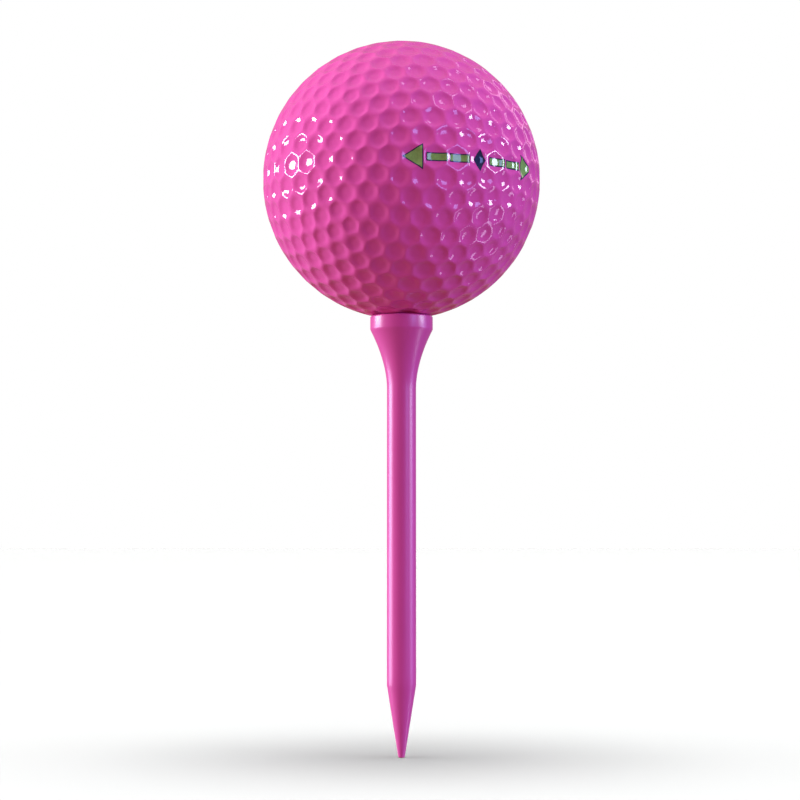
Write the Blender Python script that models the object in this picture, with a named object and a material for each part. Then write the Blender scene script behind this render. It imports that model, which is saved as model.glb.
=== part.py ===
"""A golf ball resting on its tee.

The ball is a three-piece one: a rubber core, a mantle moulded round it in two half cups, and a dimpled
cover moulded in two half shells that meet at the equator. The tee is one turned solid with a shallow
cup in its head. The ball lifts straight up off the tee, along +Z.

Frame: metres, +Z up, origin at the middle of the tee's blunt tip. The front is towards -Y.
"""
import math

import bmesh
import bpy
from mathutils import Matrix, Vector

MM = 0.001

# Ball
BALL_RADIUS = 21.335 * MM
COVER_THICKNESS = 1.3 * MM
MANTLE_THICKNESS = 1.2 * MM
LAYER_GAP = 0.1 * MM
PARTING_GAP = 0.1 * MM

# Dimples: one at each vertex of an icosahedron, with a corner at each pole, whose edges are halved
# this many times. A dimple is a bowl: its depth at a share of the way out to its rim is
# DIMPLE_DEPTH * (1 - share ** BOWL_POWER).
EDGE_HALVINGS = 3
LATTICE_TURN = math.radians(31.2)
DIMPLE_DEPTH = 0.32 * MM
BOWL_POWER = 2.5
BOWL_RING = 0.6

# Tee
TEE_LENGTH = 67.2 * MM
HEAD_RADIUS = 4.80 * MM
HEAD_HEIGHT = 2.05 * MM
HEAD_EDGE_RADIUS = 0.25 * MM
LIP_RADIUS = 4.30 * MM
CUP_DEPTH = 1.2 * MM
FLARE_HEIGHT = 9.0 * MM
FLARE_POWER = 1.8
SHANK_RADIUS = 2.23 * MM
POINT_LENGTH = 10.9 * MM
TIP_RADIUS = 0.50 * MM
TIP_CHAMFER = 0.15 * MM
SEAT_GAP = 0.1 * MM

# How finely the turned tee is divided
TURN_SEGMENTS = 48
FLARE_STEPS = 10
CUP_STEPS = 5
EDGE_STEPS = 3

# Worked out from the sizes above
MANTLE_RADIUS = BALL_RADIUS - COVER_THICKNESS - LAYER_GAP
CORE_RADIUS = MANTLE_RADIUS - MANTLE_THICKNESS - LAYER_GAP
BALL_HEIGHT = TEE_LENGTH + SEAT_GAP + math.sqrt(BALL_RADIUS ** 2 - LIP_RADIUS ** 2)

ON_EQUATOR = 1e-6
SHARP_EDGE = math.radians(35)


def clear_scene():
    for item in list(bpy.data.objects):
        bpy.data.objects.remove(item, do_unlink=True)


def make_material(name, color, roughness, metallic=0.0):
    material = bpy.data.materials.new(name)
    material.use_nodes = True
    shader = material.node_tree.nodes["Principled BSDF"]
    shader.inputs["Base Color"].default_value = (*color, 1.0)
    shader.inputs["Roughness"].default_value = roughness
    shader.inputs["Metallic"].default_value = metallic
    return material


def make_object(name, bm, material, parent=None):
    """One closed piece: the bmesh becomes a smooth-shaded object, moved to its parent if it has one."""
    mesh = bpy.data.meshes.new(name)
    bmesh.ops.recalc_face_normals(bm, faces=bm.faces)
    bm.to_mesh(mesh)
    bm.free()
    mesh.shade_smooth()
    mesh.set_sharp_from_angle(angle=SHARP_EDGE)
    mesh.materials.append(material)
    piece = bpy.data.objects.new(name, mesh)
    piece.parent = parent
    bpy.context.collection.objects.link(piece)
    return piece


def dimple_lattice():
    """A unit sphere of triangles with one vertex where each dimple's centre is.

    Both moulds are alike, so the lower half is the upper one mirrored through the equator, and one row
    of dimples lies on the equator.
    """
    lattice = bmesh.new()
    bmesh.ops.create_icosphere(lattice, subdivisions=1, radius=1.0)
    for _ in range(EDGE_HALVINGS):
        bmesh.ops.subdivide_edges(lattice, edges=lattice.edges[:], cuts=1, use_grid_fill=True)
        for vertex in lattice.verts:
            vertex.co.normalize()
    everything = lattice.verts[:] + lattice.edges[:] + lattice.faces[:]
    bmesh.ops.symmetrize(lattice, input=everything, direction="Z", dist=ON_EQUATOR)
    bmesh.ops.rotate(lattice, verts=lattice.verts, matrix=Matrix.Rotation(LATTICE_TURN, 3, "Z"))
    return lattice


def corners_round(vertex, corner_of):
    """The corners of one dimple's cell, in order round its centre."""
    outward = vertex.co.normalized()
    side = outward.orthogonal().normalized()
    across = outward.cross(side)

    def bearing(face):
        offset = face.calc_center_median() - vertex.co
        return math.atan2(offset.dot(across), offset.dot(side))

    return [corner_of[face.index] for face in sorted(vertex.link_faces, key=bearing)]


def dimpled_sphere():
    """The cover's outer surface: a bowl for each dimple, whose six or five rim corners keep full radius."""
    lattice = dimple_lattice()
    lattice.faces.index_update()
    skin = bmesh.new()
    rim_points = [face.calc_center_median().normalized() * BALL_RADIUS for face in lattice.faces]
    corner_of = [skin.verts.new(point) for point in rim_points]
    ring_radius = BALL_RADIUS - DIMPLE_DEPTH * (1 - BOWL_RING ** BOWL_POWER)
    for vertex in lattice.verts:
        outward = vertex.co.normalized()
        middle = skin.verts.new(outward * (BALL_RADIUS - DIMPLE_DEPTH))
        corners = corners_round(vertex, corner_of)
        inner = [outward.lerp(corner.co.normalized(), BOWL_RING).normalized() for corner in corners]
        ring = [skin.verts.new(direction * ring_radius) for direction in inner]
        for near, following in zip(range(len(ring)), [*range(1, len(ring)), 0]):
            skin.faces.new((middle, ring[near], ring[following]))
            skin.faces.new((ring[near], corners[near], corners[following], ring[following]))
    lattice.free()
    return skin


def plain_sphere(radius):
    sphere = dimple_lattice()
    bmesh.ops.scale(sphere, verts=sphere.verts, vec=Vector((radius, radius, radius)))
    return sphere


def add_surface(target, source):
    """Adds a copy of one bmesh's faces to another, and frees the source."""
    copies = {vertex: target.verts.new(vertex.co) for vertex in source.verts}
    for face in source.faces:
        target.faces.new([copies[vertex] for vertex in face.verts])
    source.free()


def half_shell(outer, inner, upper):
    """Half of the wall between two round surfaces, with a flat parting face at the equator."""
    add_surface(outer, inner)
    wall = outer
    everything = wall.verts[:] + wall.edges[:] + wall.faces[:]
    up = 1.0 if upper else -1.0
    bmesh.ops.bisect_plane(wall, geom=everything, dist=ON_EQUATOR, plane_co=(0, 0, 0),
                           plane_no=(0, 0, up), clear_inner=True)
    parting_edges = [edge for edge in wall.edges if edge.is_boundary]
    for vertex in {vertex for edge in parting_edges for vertex in edge.verts}:
        vertex.co.z = up * PARTING_GAP / 2
    bmesh.ops.triangle_fill(wall, use_beauty=True, edges=parting_edges, normal=(0, 0, -up))
    return wall


def tee_profile():
    """The tee's outline as (radius, height) points, from the tip up and over into the cup."""
    head_bottom = TEE_LENGTH - HEAD_HEIGHT
    flare_bottom = head_bottom - FLARE_HEIGHT
    outline = [(TIP_RADIUS - TIP_CHAMFER, 0.0), (TIP_RADIUS, TIP_CHAMFER), (SHANK_RADIUS, POINT_LENGTH)]
    for step in range(FLARE_STEPS + 1):
        part = step / FLARE_STEPS
        widening = (HEAD_RADIUS - SHANK_RADIUS) * part ** FLARE_POWER
        outline.append((SHANK_RADIUS + widening, flare_bottom + FLARE_HEIGHT * part))
    for step in range(EDGE_STEPS + 1):
        angle = math.pi / 2 * step / EDGE_STEPS
        outline.append((HEAD_RADIUS - HEAD_EDGE_RADIUS * (1 - math.cos(angle)),
                        TEE_LENGTH - HEAD_EDGE_RADIUS * (1 - math.sin(angle))))
    dish_radius = (LIP_RADIUS ** 2 + CUP_DEPTH ** 2) / (2 * CUP_DEPTH)
    dish_centre = TEE_LENGTH - CUP_DEPTH + dish_radius
    lip_angle = math.asin(LIP_RADIUS / dish_radius)
    for step in range(CUP_STEPS):
        angle = lip_angle * (1 - step / CUP_STEPS)
        outline.append((dish_radius * math.sin(angle), dish_centre - dish_radius * math.cos(angle)))
    return outline


def turned_solid(outline):
    """A closed solid made by turning an outline round the Z axis, with a flat face at its start."""
    solid = bmesh.new()
    rings = []
    for radius, height in outline:
        angles = [2 * math.pi * step / TURN_SEGMENTS for step in range(TURN_SEGMENTS)]
        rings.append([solid.verts.new((radius * math.cos(a), radius * math.sin(a), height)) for a in angles])
    for low, high in zip(rings, rings[1:]):
        for step in range(TURN_SEGMENTS):
            following = (step + 1) % TURN_SEGMENTS
            solid.faces.new((low[step], low[following], high[following], high[step]))
    solid.faces.new(rings[0])
    cup_bottom = solid.verts.new((0, 0, TEE_LENGTH - CUP_DEPTH))
    for step in range(TURN_SEGMENTS):
        solid.faces.new((rings[-1][step], rings[-1][(step + 1) % TURN_SEGMENTS], cup_bottom))
    return solid


def build_ball():
    """The ball's pieces, all centred on an empty at the middle of the ball."""
    centre = bpy.data.objects.new("ball_centre", None)
    centre.location.z = BALL_HEIGHT
    bpy.context.collection.objects.link(centre)

    rubber = make_material("core_rubber", (0.55, 0.09, 0.12), 0.75)
    make_object("rubber_core", plain_sphere(CORE_RADIUS), rubber, centre)

    ionomer = make_material("mantle_ionomer", (0.78, 0.76, 0.70), 0.5)
    pink_gloss = make_material("cover_gloss_pink", (0.85, 0.07, 0.38), 0.12)
    for side in ("upper", "lower"):
        cup = half_shell(plain_sphere(MANTLE_RADIUS), plain_sphere(CORE_RADIUS + LAYER_GAP), side == "upper")
        make_object(f"mantle_{side}_half", cup, ionomer, centre)
        shell = half_shell(dimpled_sphere(), plain_sphere(MANTLE_RADIUS + LAYER_GAP), side == "upper")
        make_object(f"cover_{side}_half", shell, pink_gloss, centre)


def build_tee():
    pink_satin = make_material("tee_satin_pink", (0.80, 0.06, 0.34), 0.35)
    make_object("tee", turned_solid(tee_profile()), pink_satin)


def main():
    clear_scene()
    build_ball()
    build_tee()


main()
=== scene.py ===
"""The looks of a pink golf ball on its tee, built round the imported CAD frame.

The cover becomes one dimpled skin with a smooth bowl in every cell, the tee gets rounded edges, and a plain
alignment mark of dashes, arrowheads and a diamond stands where the real ball carries its print. Metres,
+Z up, and the camera looks along +Y from the front.
"""
import math

import bmesh
import bpy
import numpy as np
from mathutils import Matrix, Vector


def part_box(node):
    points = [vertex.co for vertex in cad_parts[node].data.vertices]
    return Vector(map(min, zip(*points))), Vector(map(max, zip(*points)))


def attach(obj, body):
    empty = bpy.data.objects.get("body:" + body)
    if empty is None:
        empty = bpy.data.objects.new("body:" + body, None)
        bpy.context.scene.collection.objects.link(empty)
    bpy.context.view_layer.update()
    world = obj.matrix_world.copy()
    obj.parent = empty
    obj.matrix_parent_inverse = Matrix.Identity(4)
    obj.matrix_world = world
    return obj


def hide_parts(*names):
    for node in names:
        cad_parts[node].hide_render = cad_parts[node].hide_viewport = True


MM = 0.001

# Ball, as in the CAD
BALL_RADIUS = 21.335 * MM
COVER_THICKNESS = 1.3 * MM
MANTLE_THICKNESS = 1.2 * MM
LAYER_GAP = 0.1 * MM
PARTING_GAP = 0.1 * MM
EDGE_HALVINGS = 3
LATTICE_TURN = math.radians(31.2)
MANTLE_RADIUS = BALL_RADIUS - COVER_THICKNESS - LAYER_GAP
CORE_RADIUS = MANTLE_RADIUS - MANTLE_THICKNESS - LAYER_GAP

# A dimple's bowl: its slope grows as share ** BOWL_POWER towards the rim, and falls off as
# share ** CREST_POWER where the crest between two dimples is rounded. Its contours follow the cell's sides
# at the rim and are round inside.
DIMPLE_DEPTH = 0.32 * MM
BOWL_POWER = 2.5
CREST_POWER = 8
HEXAGON_POWER = 9
BOWL_SHARES = (0.97, 0.93, 0.87, 0.79, 0.69, 0.57, 0.43, 0.25)
SIDE_STEPS = 3

# Tee, as in the CAD
HEAD_HEIGHT = 2.05 * MM
LIP_RADIUS = 4.30 * MM
CUP_DEPTH = 1.2 * MM
FLARE_HEIGHT = 9.0 * MM
FLARE_POWER = 1.8
SHANK_RADIUS = 2.23 * MM
POINT_LENGTH = 10.9 * MM
TIP_RADIUS = 0.50 * MM
TIP_ROUNDING = 0.15 * MM
HEAD_EDGE_RADIUS = 0.25 * MM

# The bevels that soften the tee's edge between point and shank, and under its head
POINT_BEVEL_DEPTH = 0.02 * MM
POINT_BEVEL_BELOW = 0.12 * MM
POINT_BEVEL_ABOVE = 0.05 * MM
HEAD_BEVEL_SHARE = 0.995
HEAD_BEVEL_BELOW = 0.03 * MM
HEAD_BEVEL_ABOVE = 0.06 * MM

# How finely the tee is divided: round it, and along each stretch of its outline
TEE_SEGMENTS = 128
TIP_STEPS = 4
SHANK_STEPS = 28
FLARE_STEPS = 24
HEAD_EDGE_STEPS = 6
CUP_STEPS = 14

# Alignment mark, in degrees along the equator and above it. Its middle is measured from the front towards
# +X, and everything else from its middle.
MARK_MIDDLE = 32.5
MARK_REACH = 31.5
ARROW_LENGTH = 7.0
MARK_HALF_HEIGHT = 4.4
DASH_HALF_HEIGHT = 1.25
DIAMOND_HALF_WIDTH = 2.6
DASHES = ((5.0, 12.8), (14.6, 22.4))
OUTLINE_WIDTH = 0.45
INK_THICKNESS = 0.012 * MM
INK_LIFT = 0.004 * MM

# Camera
LENS_MM = 90.0
SENSOR_MM = 36.0
CAMERA_DISTANCE = 310.6 * MM
CAMERA_BELOW = math.radians(9.78)
CAMERA_PITCH = math.radians(3.53)
CAMERA_SIDE = -0.23 * MM

# Studio: each softbox has its direction, half its width and half its height in degrees, and its radiance
# in red, green and blue
LIGHT_DISTANCE = 2.0
LIGHTS_AIM = 85.0 * MM
SOFTBOXES = (
    ("left_box", (-0.979, 0.103, 0.174), 13.5, 5.2, (19.0, 20.5, 22.0)),
    ("right_box", (0.97, -0.17, 0.17), 9, 6.5, (13.5, 15.5, 19.0)),
    ("right_front_box", (0.69, -0.70, 0.17), 10, 9, (2.2, 3.0, 7.5)),
    ("low_right_strip", (0.87, -0.03, -0.49), 5, 13, (3.8, 3.5, 5.0)),
    ("back_right_strip", (0.60, 0.66, 0.46), 5, 16, (1.8, 1.2, 1.6)),
    ("high_right_spot", (0.52, -0.22, 0.83), 6, 5, (4.0, 3.5, 5.0)),
)

# Broad round lights that glossy surfaces do not mirror, each with its direction and its radiance
FILL_HALF_ANGLE = 20
FILLS = (
    ("overhead_fill", (0, 0, 1), (3.0, 3.0, 3.0)),
    ("left_fill", (-0.98, -0.12, 0.15), (2.0, 2.0, 2.2)),
)

# Softboxes that only the tee mirrors and that light nothing else
TEE_STREAKS = (
    ("left_streak", (-0.99, 0.14, -0.035), 17, 9, (6.5, 6.8, 9.5)),
    ("right_streak", (1.0, -0.05, -0.035), 11, 9, (2.2, 1.8, 4.6)),
)

# The floor's own suns, each tilted so many degrees towards +X and +Y, and with its share of the light
FLOOR_SUNS = ((-16, 0, 0.25), (0, 0, 0.38), (16, 0, 0.25), (0, -26, 0.06), (0, 26, 0.06))
FLOOR_SUN_HALF_ANGLE = 18
FLOOR_SUNLIGHT = 9.1
FLOOR_HALF_SIZE = 2.5
FLOOR_COLOR = (0.102, 0.104, 0.103)

# The world's glow round each direction, in red, green and blue
GLOWS = (
    ((-1, 0, 0), (0.81, 0.55, 0.71)),
    ((1, 0, 0), (0.02, 0.08, 0.12)),
    ((0, -1, 0), (0.32, 0.12, 0.02)),
    ((0, 1, 0), (0.47, 0.20, 0.20)),
    ((0, 0, -1), (0.22, 0.12, 0.02)),
    ((0, 0, 1), (0.58, 0.46, 0.43)),
)

# How near to the equator a vertex counts as on it, and how near together two vertices count as one
ON_EQUATOR = 1e-6
SAME_PLACE = 1e-7

# How much further than a shape's corners the skin is gathered before it is cut, as a share and in ball radii
GATHER_SHARE = 1.1
GATHER_MARGIN = 0.02


# ---------------------------------------------------------------- shared mesh helpers

def new_object(name, mesh, material, sharp_degrees=40):
    mesh.shade_smooth()
    mesh.set_sharp_from_angle(angle=math.radians(sharp_degrees))
    mesh.materials.append(material)
    piece = bpy.data.objects.new(name, mesh)
    bpy.context.collection.objects.link(piece)
    return piece


def mesh_from_bmesh(name, bm):
    mesh = bpy.data.meshes.new(name)
    bm.to_mesh(mesh)
    bm.free()
    return mesh


def dimple_lattice(halvings=EDGE_HALVINGS):
    """A unit sphere of triangles with one vertex at each dimple's centre, alike above and below."""
    lattice = bmesh.new()
    bmesh.ops.create_icosphere(lattice, subdivisions=1, radius=1.0)
    for _ in range(halvings):
        bmesh.ops.subdivide_edges(lattice, edges=lattice.edges[:], cuts=1, use_grid_fill=True)
        for vertex in lattice.verts:
            vertex.co.normalize()
    everything = lattice.verts[:] + lattice.edges[:] + lattice.faces[:]
    bmesh.ops.symmetrize(lattice, input=everything, direction="Z", dist=ON_EQUATOR)
    bmesh.ops.rotate(lattice, verts=lattice.verts, matrix=Matrix.Rotation(LATTICE_TURN, 3, "Z"))
    return lattice


# ---------------------------------------------------------------- dimpled skin

def bowl_depth(share):
    """How deep a dimple is at a share of the way from its middle to its rim, from 1 down to 0."""
    def climbed(reached):
        wall, crest = BOWL_POWER + 1, BOWL_POWER + CREST_POWER + 1
        return reached ** wall / wall - reached ** crest / crest
    return 1 - climbed(share) / climbed(1.0)


def faces_round(vertex):
    """A lattice vertex's faces in order round it."""
    outward = vertex.co.normalized()
    side = outward.orthogonal().normalized()
    across = outward.cross(side)

    def bearing(face):
        offset = face.calc_center_median() - vertex.co
        return math.atan2(offset.dot(across), offset.dot(side))

    return sorted(vertex.link_faces, key=bearing)


class Skin:
    """The points and faces of the dimpled skin, on a unit ball until it is scaled."""

    def __init__(self):
        self.points = []
        self.faces = []
        self.sides = {}

    def add(self, directions, radii):
        """Adds points along unit directions and returns their numbers."""
        start = len(self.points)
        self.points.extend(directions * np.reshape(radii, (-1, 1)))
        return list(range(start, len(self.points)))

    def side_between(self, first, second, corners):
        """The rim's points from one corner up to, but not with, the next, shared by both dimples."""
        key = (min(first, second), max(first, second))
        if key not in self.sides:
            steps = np.arange(1, SIDE_STEPS)[:, None] / SIDE_STEPS
            between = corners[key[0]] * (1 - steps) + corners[key[1]] * steps
            between /= np.linalg.norm(between, axis=1, keepdims=True)
            self.sides[key] = self.add(between, np.full(len(between), 1.0))
        numbers = self.sides[key]
        return [first] + (numbers if first == key[0] else numbers[::-1])

    def add_bowl(self, middle, loop, depth):
        """Fills one cell, from its rim loop down to its middle."""
        rim = np.array([self.points[i] for i in loop])
        offsets = rim / (rim @ middle)[:, None] - middle
        reach = np.linalg.norm(offsets, axis=1)
        outward = offsets / reach[:, None]
        outer = loop
        for share in BOWL_SHARES:
            straight = share ** HEXAGON_POWER
            ring_reach = share * (straight * reach + (1 - straight) * reach.min())
            directions = middle + outward * ring_reach[:, None]
            directions /= np.linalg.norm(directions, axis=1, keepdims=True)
            inner = self.add(directions, np.full(len(loop), 1 - depth * bowl_depth(share)))
            for i in range(len(loop)):
                j = (i + 1) % len(loop)
                self.faces.append((outer[i], outer[j], inner[j], inner[i]))
            outer = inner
        bottom, = self.add(middle[None, :], [1 - depth])
        for i in range(len(loop)):
            self.faces.append((outer[i], outer[(i + 1) % len(loop)], bottom))


def dimpled_skin():
    """The whole ball's outer skin as points and faces, at its real radius."""
    lattice = dimple_lattice()
    lattice.faces.index_update()
    corners = np.array([face.calc_center_median().normalized() for face in lattice.faces])
    skin = Skin()
    skin.add(corners, np.ones(len(corners)))
    cells = []
    for vertex in lattice.verts:
        around = [face.index for face in faces_round(vertex)]
        loop = []
        for first, second in zip(around, around[1:] + around[:1]):
            loop += skin.side_between(first, second, corners)
        middle = np.array(vertex.co.normalized())
        size = np.mean(np.linalg.norm(corners[around] - middle, axis=1))
        cells.append((middle, loop, size))
    lattice.free()
    mean_size = np.mean([size for _, _, size in cells])
    for middle, loop, size in cells:
        skin.add_bowl(middle, loop, DIMPLE_DEPTH / BALL_RADIUS * size / mean_size)
    return np.array(skin.points) * BALL_RADIUS, skin.faces


def cover_piece(centre, skin, material):
    """The cover: the dimpled skin outside, and a plain round wall inside it."""
    points, faces = skin
    inside = dimple_lattice()
    inside.verts.index_update()
    inner_radius = BALL_RADIUS - COVER_THICKNESS
    inner_points = np.array([vertex.co for vertex in inside.verts]) * inner_radius
    inner_faces = [[v.index + len(points) for v in reversed(face.verts)] for face in inside.faces]
    inside.free()
    mesh = bpy.data.meshes.new("ball_cover")
    everything = np.vstack([points, inner_points]) + np.array(centre)
    mesh.from_pydata(everything.tolist(), [], list(faces) + inner_faces)
    mesh.validate()
    return new_object("ball_cover", mesh, material, sharp_degrees=80)


# ---------------------------------------------------------------- alignment mark

def on_ball(longitude, latitude):
    """The unit vector at so many degrees round from the front, towards +X, and above the equator."""
    lon, lat = math.radians(longitude), math.radians(latitude)
    return Vector((math.sin(lon) * math.cos(lat), -math.cos(lon) * math.cos(lat), math.sin(lat)))


def mark_shapes(grow):
    """The mark's convex shapes as corner lists in degrees, each grown outwards by so many degrees."""
    shapes = []
    for way in (-1, 1):
        for start, end in DASHES:
            low, high = start - grow, end + grow
            tall = DASH_HALF_HEIGHT + grow
            shapes.append([(way * low, -tall), (way * high, -tall), (way * high, tall), (way * low, tall)])
        base = MARK_REACH - ARROW_LENGTH - grow
        tip = MARK_REACH + grow * math.hypot(ARROW_LENGTH, MARK_HALF_HEIGHT) / MARK_HALF_HEIGHT
        tall = MARK_HALF_HEIGHT * (tip - base) / ARROW_LENGTH
        shapes.append([(way * base, -tall), (way * tip, 0.0), (way * base, tall)])
    return [[(MARK_MIDDLE + x, y) for x, y in shape] for shape in shapes]


def diamond():
    """The mark's middle, as a corner list in degrees."""
    wide, tall = DIAMOND_HALF_WIDTH, MARK_HALF_HEIGHT
    return [(MARK_MIDDLE + x, y) for x, y in ((-wide, 0), (0, -tall), (wide, 0), (0, tall))]


def cut_from_skin(points, faces, shape):
    """The part of the skin that lies inside one convex shape, as a bmesh centred on the ball."""
    corners = [on_ball(x, y) for x, y in shape]
    middle = sum(corners, Vector()).normalized()
    reach = max((corner - middle).length for corner in corners)
    directions = points / np.linalg.norm(points, axis=1, keepdims=True)
    distances = np.linalg.norm(directions - np.array(middle), axis=1)
    close = distances < reach * GATHER_SHARE + GATHER_MARGIN
    kept = [face for face in faces if all(close[i] for i in face)]
    patch = bmesh.new()
    numbers = sorted({i for face in kept for i in face})
    made = {i: patch.verts.new(points[i]) for i in numbers}
    for face in kept:
        patch.faces.new([made[i] for i in face])
    for first, second in zip(corners, corners[1:] + corners[:1]):
        wall = first.cross(second)
        if wall.dot(middle) < 0:
            wall.negate()
        everything = patch.verts[:] + patch.edges[:] + patch.faces[:]
        bmesh.ops.bisect_plane(patch, geom=everything, dist=SAME_PLACE, plane_co=(0, 0, 0),
                               plane_no=wall, clear_inner=True)
    return patch


def ink_piece(name, centre, skin, shapes, lift, material):
    """A thin film of ink over the skin, one closed patch for each shape."""
    points, faces = skin
    film = bmesh.new()
    for shape in shapes:
        patch = cut_from_skin(points, faces, shape)
        bottom = {vertex: film.verts.new(vertex.co * (1 + lift / BALL_RADIUS)) for vertex in patch.verts}
        top_scale = 1 + (lift + INK_THICKNESS) / BALL_RADIUS
        top = {vertex: film.verts.new(vertex.co * top_scale) for vertex in patch.verts}
        for face in patch.faces:
            film.faces.new([top[vertex] for vertex in face.verts])
            film.faces.new([bottom[vertex] for vertex in reversed(face.verts)])
        for edge in patch.edges:
            if edge.is_boundary:
                first, second = edge.link_loops[0].vert, edge.link_loops[0].link_loop_next.vert
                film.faces.new((top[second], top[first], bottom[first], bottom[second]))
        patch.free()
    bmesh.ops.translate(film, verts=film.verts, vec=centre)
    return new_object(name, mesh_from_bmesh(name, film), material, sharp_degrees=60)


# ---------------------------------------------------------------- inside the ball

def fine_sphere(radius):
    """A round ball, its edges halved once more than the lattice's."""
    sphere = dimple_lattice(EDGE_HALVINGS + 1)
    bmesh.ops.scale(sphere, verts=sphere.verts, vec=(radius, radius, radius))
    return sphere


def mantle_cup(name, centre, upper, material):
    """Half of the mantle: a bowl-shaped wall with a flat parting face."""
    outer = fine_sphere(MANTLE_RADIUS)
    inner = fine_sphere(MANTLE_RADIUS - MANTLE_THICKNESS)
    copies = {vertex: outer.verts.new(vertex.co) for vertex in inner.verts}
    for face in inner.faces:
        outer.faces.new([copies[vertex] for vertex in face.verts])
    inner.free()
    up = 1.0 if upper else -1.0
    everything = outer.verts[:] + outer.edges[:] + outer.faces[:]
    bmesh.ops.bisect_plane(outer, geom=everything, dist=ON_EQUATOR, plane_co=(0, 0, 0),
                           plane_no=(0, 0, up), clear_inner=True)
    rims = [edge for edge in outer.edges if edge.is_boundary]
    for vertex in {vertex for edge in rims for vertex in edge.verts}:
        vertex.co.z = up * PARTING_GAP / 2
    bmesh.ops.triangle_fill(outer, use_beauty=True, edges=rims, normal=(0, 0, -up))
    bmesh.ops.recalc_face_normals(outer, faces=outer.faces)
    bmesh.ops.translate(outer, verts=outer.verts, vec=centre)
    return new_object(name, mesh_from_bmesh(name, outer), material)


def core_piece(centre, material):
    core = fine_sphere(CORE_RADIUS)
    bmesh.ops.translate(core, verts=core.verts, vec=centre)
    return new_object("ball_core", mesh_from_bmesh("ball_core", core), material)


# ---------------------------------------------------------------- tee

def arc(centre_r, centre_z, radius, start, end, steps):
    """Points (radius, height) along an arc, its angles in degrees from +R towards +Z."""
    points = []
    for step in range(steps + 1):
        angle = math.radians(start + (end - start) * step / steps)
        points.append((centre_r + radius * math.cos(angle), centre_z + radius * math.sin(angle)))
    return points


def tee_outline(length, head_radius):
    """The tee's outline as (radius, height), from the middle of the tip to the middle of the cup."""
    flare_bottom = length - HEAD_HEIGHT - FLARE_HEIGHT
    outline = [(0.0, 0.0)]
    outline += arc(TIP_RADIUS - TIP_ROUNDING, TIP_ROUNDING, TIP_ROUNDING, -90, 0, TIP_STEPS)
    outline.append((SHANK_RADIUS - POINT_BEVEL_DEPTH, POINT_LENGTH - POINT_BEVEL_BELOW))
    outline.append((SHANK_RADIUS, POINT_LENGTH + POINT_BEVEL_ABOVE))
    for step in range(1, SHANK_STEPS):
        height = POINT_LENGTH + (flare_bottom - POINT_LENGTH) * step / SHANK_STEPS
        outline.append((SHANK_RADIUS, height))
    for step in range(FLARE_STEPS + 1):
        part = step / FLARE_STEPS
        widening = (head_radius - SHANK_RADIUS) * part ** FLARE_POWER * HEAD_BEVEL_SHARE
        outline.append((SHANK_RADIUS + widening, flare_bottom + (FLARE_HEIGHT - HEAD_BEVEL_BELOW) * part))
    outline.append((head_radius, length - HEAD_HEIGHT + HEAD_BEVEL_ABOVE))
    edge_height = length - HEAD_EDGE_RADIUS
    outline += arc(head_radius - HEAD_EDGE_RADIUS, edge_height, HEAD_EDGE_RADIUS, 0, 90, HEAD_EDGE_STEPS)
    dish_radius = (LIP_RADIUS ** 2 + CUP_DEPTH ** 2) / (2 * CUP_DEPTH)
    lip_angle = math.degrees(math.asin(LIP_RADIUS / dish_radius))
    outline += arc(0.0, length - CUP_DEPTH + dish_radius, dish_radius, lip_angle - 90, -90, CUP_STEPS)
    return outline


def tee_piece(material):
    low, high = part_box("tee")
    outline = tee_outline(high[2] - low[2], (high[0] - low[0]) / 2)
    profile = bmesh.new()
    verts = [profile.verts.new((radius, 0.0, low[2] + height)) for radius, height in outline]
    edges = [profile.edges.new(pair) for pair in zip(verts, verts[1:])]
    bmesh.ops.spin(profile, geom=verts + edges, axis=(0, 0, 1), cent=(0, 0, 0), steps=TEE_SEGMENTS,
                   angle=2 * math.pi, use_merge=True)
    bmesh.ops.remove_doubles(profile, verts=profile.verts, dist=SAME_PLACE)
    bmesh.ops.recalc_face_normals(profile, faces=profile.faces)
    return new_object("golf_tee", mesh_from_bmesh("golf_tee", profile), material, sharp_degrees=50)


# ---------------------------------------------------------------- materials

def surface(name, color, **values):
    """A Principled material. values are socket names with _ for spaces."""
    material = bpy.data.materials.new(name)
    material.use_nodes = True
    shader = material.node_tree.nodes["Principled BSDF"]
    shader.inputs["Base Color"].default_value = (*color, 1.0)
    for socket, value in values.items():
        shader.inputs[socket.replace("_", " ")].default_value = value
    return material


def noise(material, scale, detail=3.0, roughness=0.5, stretch=None):
    """A noise texture in the object's own space, its scale in lumps to the metre."""
    nodes, links = material.node_tree.nodes, material.node_tree.links
    place = nodes.new("ShaderNodeTexCoord")
    texture = nodes.new("ShaderNodeTexNoise")
    texture.inputs["Scale"].default_value = scale
    texture.inputs["Detail"].default_value = detail
    texture.inputs["Roughness"].default_value = roughness
    if stretch is None:
        links.new(place.outputs["Object"], texture.inputs["Vector"])
    else:
        mapping = nodes.new("ShaderNodeMapping")
        mapping.inputs["Scale"].default_value = stretch
        links.new(place.outputs["Object"], mapping.inputs["Vector"])
        links.new(mapping.outputs["Vector"], texture.inputs["Vector"])
    return texture.outputs["Fac"]


def vary_color(material, factor, dark, light):
    """Drives the base colour between two colours by a factor."""
    nodes, links = material.node_tree.nodes, material.node_tree.links
    ramp = nodes.new("ShaderNodeValToRGB")
    ramp.color_ramp.elements[0].position = 0.3
    ramp.color_ramp.elements[1].position = 0.7
    ramp.color_ramp.elements[0].color = (*dark, 1.0)
    ramp.color_ramp.elements[1].color = (*light, 1.0)
    links.new(factor, ramp.inputs["Fac"])
    links.new(ramp.outputs["Color"], nodes["Principled BSDF"].inputs["Base Color"])


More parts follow.
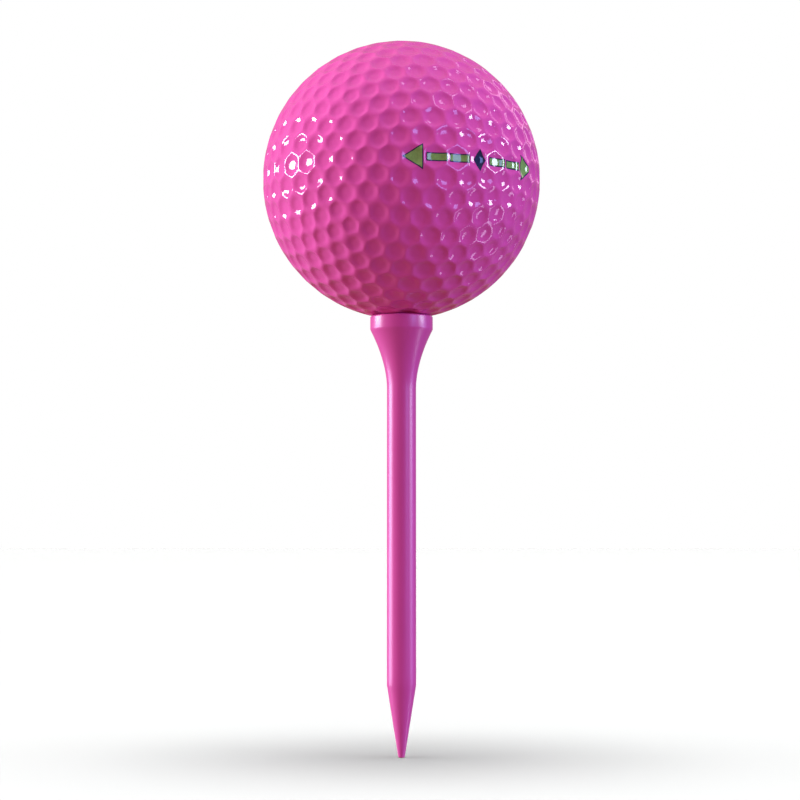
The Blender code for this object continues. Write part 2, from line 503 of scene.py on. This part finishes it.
def vary_roughness(material, factor, low, high):
    nodes, links = material.node_tree.nodes, material.node_tree.links
    spread = nodes.new("ShaderNodeMapRange")
    spread.inputs["To Min"].default_value = low
    spread.inputs["To Max"].default_value = high
    links.new(factor, spread.inputs["Value"])
    links.new(spread.outputs["Result"], nodes["Principled BSDF"].inputs["Roughness"])


def add_bump(material, factor, height):
    """Bumps the surface by a factor, its full height in metres."""
    nodes, links = material.node_tree.nodes, material.node_tree.links
    bump = nodes.new("ShaderNodeBump")
    bump.inputs["Strength"].default_value = 1.0
    bump.inputs["Distance"].default_value = height
    links.new(factor, bump.inputs["Height"])
    links.new(bump.outputs["Normal"], nodes["Principled BSDF"].inputs["Normal"])


def shades(color, spread):
    """A colour a little darker and a little lighter."""
    darker = tuple(part * (1 - spread) for part in color)
    lighter = tuple(min(1.0, part * (1 + spread)) for part in color)
    return darker, lighter


def cover_paint():
    """Glossy pink, with a faint orange peel."""
    pink = (0.86, 0.10, 0.50)
    paint = surface("cover_paint", pink, Roughness=0.08, IOR=1.55)
    vary_color(paint, noise(paint, 220.0, 4.0), *shades(pink, 0.04))
    add_bump(paint, noise(paint, 1400.0, 2.0), 0.0015 * MM)
    return paint


def ink(name, color):
    film = surface(name, color, Roughness=0.08, IOR=1.55)
    vary_color(film, noise(film, 2500.0, 3.0), *shades(color, 0.12))
    return film


def tee_plastic():
    """Satin moulded plastic, with a fine mould grain."""
    pink = (0.75, 0.085, 0.44)
    plastic = surface("tee_plastic", pink, Roughness=0.30, IOR=1.5)
    vary_color(plastic, noise(plastic, 260.0, 4.0, stretch=(1.0, 1.0, 0.25)), *shades(pink, 0.04))
    vary_roughness(plastic, noise(plastic, 900.0, 4.0), 0.28, 0.32)
    add_bump(plastic, noise(plastic, 5200.0, 3.0), 0.001 * MM)
    return plastic


def mantle_plastic():
    cream = (0.78, 0.76, 0.70)
    plastic = surface("mantle_ionomer", cream, Roughness=0.5)
    vary_color(plastic, noise(plastic, 180.0, 5.0), *shades(cream, 0.06))
    add_bump(plastic, noise(plastic, 2400.0, 3.0), 0.01 * MM)
    return plastic


def core_rubber():
    red = (0.50, 0.07, 0.10)
    rubber = surface("core_rubber", red, Roughness=0.75)
    vary_color(rubber, noise(rubber, 900.0, 6.0, 0.7), *shades(red, 0.25))
    vary_roughness(rubber, noise(rubber, 600.0, 4.0), 0.65, 0.9)
    add_bump(rubber, noise(rubber, 2600.0, 5.0), 0.03 * MM)
    return rubber


# ---------------------------------------------------------------- studio

def set_radiance(lamp, radiance, extent):
    """Sets a light's colour and energy. extent is a box's area, or a sun's squared sine of its half angle."""
    brightest = max(radiance)
    lamp.color = [part / brightest for part in radiance]
    lamp.energy = brightest * math.pi * extent


def add_softbox(name, direction, half_width, half_height, radiance):
    """A rectangular light, seen from the ball as so many degrees to each side and up and down."""
    lamp = bpy.data.lights.new(name, "AREA")
    lamp.shape = "RECTANGLE"
    lamp.size = 2 * LIGHT_DISTANCE * math.tan(math.radians(half_width))
    lamp.size_y = 2 * LIGHT_DISTANCE * math.tan(math.radians(half_height))
    set_radiance(lamp, radiance, lamp.size * lamp.size_y)
    item = bpy.data.objects.new(name, lamp)
    away = Vector(direction).normalized()
    item.location = Vector((0.0, 0.0, LIGHTS_AIM)) + away * LIGHT_DISTANCE
    item.rotation_euler = away.to_track_quat("Z", "Y").to_euler()
    item.visible_camera = False
    bpy.context.collection.objects.link(item)
    return item


def add_disc(name, direction, half_angle, radiance):
    """A distant round light of so many degrees from middle to edge, which glossy surfaces do not mirror."""
    lamp = bpy.data.lights.new(name, "SUN")
    lamp.angle = math.radians(2 * half_angle)
    set_radiance(lamp, radiance, math.sin(math.radians(half_angle)) ** 2)
    item = bpy.data.objects.new(name, lamp)
    item.rotation_euler = Vector(direction).to_track_quat("Z", "Y").to_euler()
    item.visible_glossy = False
    bpy.context.collection.objects.link(item)
    return item


def side_glow(tree, direction, axis, color):
    """A colour that fades away from its axis by the square of the angle's cosine."""
    nodes, links = tree.nodes, tree.links
    facing = nodes.new("ShaderNodeVectorMath")
    facing.operation = "DOT_PRODUCT"
    facing.inputs[1].default_value = axis
    links.new(direction, facing.inputs[0])
    kept = nodes.new("ShaderNodeMath")
    kept.operation = "MAXIMUM"
    kept.inputs[1].default_value = 0.0
    links.new(facing.outputs["Value"], kept.inputs[0])
    squared = nodes.new("ShaderNodeMath")
    squared.operation = "POWER"
    squared.inputs[1].default_value = 2.0
    links.new(kept.outputs["Value"], squared.inputs[0])
    glow = nodes.new("ShaderNodeVectorMath")
    glow.operation = "SCALE"
    glow.inputs[0].default_value = color
    links.new(squared.outputs["Value"], glow.inputs["Scale"])
    return glow.outputs["Vector"]


def add_up(tree, vectors):
    """The sum of several vector sockets."""
    total = vectors[0]
    for vector in vectors[1:]:
        added = tree.nodes.new("ShaderNodeVectorMath")
        tree.links.new(total, added.inputs[0])
        tree.links.new(vector, added.inputs[1])
        total = added.outputs["Vector"]
    return total


def build_world():
    """Plain white to the camera. To the object, six broad glows, one from each side, that blend smoothly."""
    world = bpy.data.worlds.new("studio")
    bpy.context.scene.world = world
    world.use_nodes = True
    tree = world.node_tree
    nodes, links = tree.nodes, tree.links
    nodes.clear()
    direction = nodes.new("ShaderNodeTexCoord").outputs["Generated"]
    soft = nodes.new("ShaderNodeBackground")
    links.new(add_up(tree, [side_glow(tree, direction, *glow) for glow in GLOWS]), soft.inputs["Color"])
    white = nodes.new("ShaderNodeBackground")
    white.inputs["Color"].default_value = (1.0, 1.0, 1.0, 1.0)
    path = nodes.new("ShaderNodeLightPath")
    choose = nodes.new("ShaderNodeMixShader")
    output = nodes.new("ShaderNodeOutputWorld")
    links.new(path.outputs["Is Camera Ray"], choose.inputs["Fac"])
    links.new(soft.outputs["Background"], choose.inputs[1])
    links.new(white.outputs["Background"], choose.inputs[2])
    links.new(choose.outputs["Shader"], output.inputs["Surface"])


def build_floor(height):
    """A broad matt floor that the object neither mirrors nor takes light from."""
    grid = bmesh.new()
    bmesh.ops.create_grid(grid, x_segments=1, y_segments=1, size=FLOOR_HALF_SIZE)
    bmesh.ops.translate(grid, verts=grid.verts, vec=(0, 0, height))
    matt = surface("floor_matt", FLOOR_COLOR, Specular_IOR_Level=0.0)
    floor = new_object("floor", mesh_from_bmesh("floor", grid), matt)
    floor.visible_diffuse = False
    floor.visible_glossy = False
    floor.visible_shadow = False
    return floor


def light_only(lamp, piece):
    """Keeps a light to one piece."""
    alone = bpy.data.collections.new(f"{lamp.name}_receiver")
    alone.objects.link(piece)
    lamp.light_linking.receiver_collection = alone


def build_lights(floor, tee):
    """The softboxes, streaks and fills, and suns for the floor alone that drop a soft shadow on it."""
    for softbox in SOFTBOXES:
        add_softbox(*softbox)
    for name, direction, radiance in FILLS:
        add_disc(name, direction, FILL_HALF_ANGLE, radiance)
    for streak in TEE_STREAKS:
        lamp = add_softbox(*streak)
        lamp.visible_diffuse = False
        light_only(lamp, tee)
    disc_share = math.sin(math.radians(FLOOR_SUN_HALF_ANGLE)) ** 2
    for tilt_x, tilt_y, share in FLOOR_SUNS:
        direction = (math.tan(math.radians(tilt_x)), math.tan(math.radians(tilt_y)), 1.0)
        radiance = FLOOR_SUNLIGHT * share / disc_share
        sun = add_disc("floor_sun", direction, FLOOR_SUN_HALF_ANGLE, (radiance,) * 3)
        light_only(sun, floor)


def build_camera(target):
    """Stands below the ball's height in front of it, and tips up only part of the way to it."""
    camera = bpy.data.cameras.new("camera")
    camera.lens = LENS_MM
    camera.sensor_width = SENSOR_MM
    camera.clip_start = 0.01
    camera.clip_end = 200.0
    item = bpy.data.objects.new("camera", camera)
    item.location = (CAMERA_SIDE, -CAMERA_DISTANCE * math.cos(CAMERA_BELOW),
                     target[2] - CAMERA_DISTANCE * math.sin(CAMERA_BELOW))
    item.rotation_euler = (math.pi / 2 + CAMERA_PITCH, 0.0, 0.0)
    bpy.context.collection.objects.link(item)
    bpy.context.scene.camera = item


# ---------------------------------------------------------------- the whole object

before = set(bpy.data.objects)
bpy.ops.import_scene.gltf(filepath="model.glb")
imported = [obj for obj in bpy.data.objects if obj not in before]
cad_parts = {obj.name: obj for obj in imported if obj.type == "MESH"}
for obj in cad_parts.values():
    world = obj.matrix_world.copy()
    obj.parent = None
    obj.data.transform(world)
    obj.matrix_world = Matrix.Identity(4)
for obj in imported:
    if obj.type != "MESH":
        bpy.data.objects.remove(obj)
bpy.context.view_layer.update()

ball_low, ball_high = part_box("cover_lower_half")[0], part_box("cover_upper_half")[1]
ball_centre = Vector((0.0, 0.0, (ball_low[2] + ball_high[2]) / 2))

build_camera(ball_centre)
build_world()
bpy.context.scene.view_settings.view_transform = "Standard"

skin = dimpled_skin()
cover = cover_piece(ball_centre, skin, cover_paint())
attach(cover, "ball")
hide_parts("cover_upper_half", "cover_lower_half")

navy = ink("navy_ink", (0.018, 0.03, 0.10))
lime = ink("lime_ink", (0.24, 0.46, 0.13))
outline_shapes = [*mark_shapes(OUTLINE_WIDTH), diamond()]
outline = ink_piece("mark_outline", ball_centre, skin, outline_shapes, INK_LIFT, navy)
fill = ink_piece("mark_fill", ball_centre, skin, mark_shapes(0.0), INK_LIFT + INK_THICKNESS, lime)
for film in (outline, fill):
    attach(film, "ball")

ionomer = mantle_plastic()
for side in ("upper", "lower"):
    cup = mantle_cup(f"mantle_{side}_cup", ball_centre, side == "upper", ionomer)
    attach(cup, "ball")
    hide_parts(f"mantle_{side}_half")

core = core_piece(ball_centre, core_rubber())
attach(core, "ball")
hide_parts("rubber_core")

tee = tee_piece(tee_plastic())
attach(tee, "tee")
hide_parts("tee")

build_lights(build_floor(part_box("tee")[0][2]), tee)
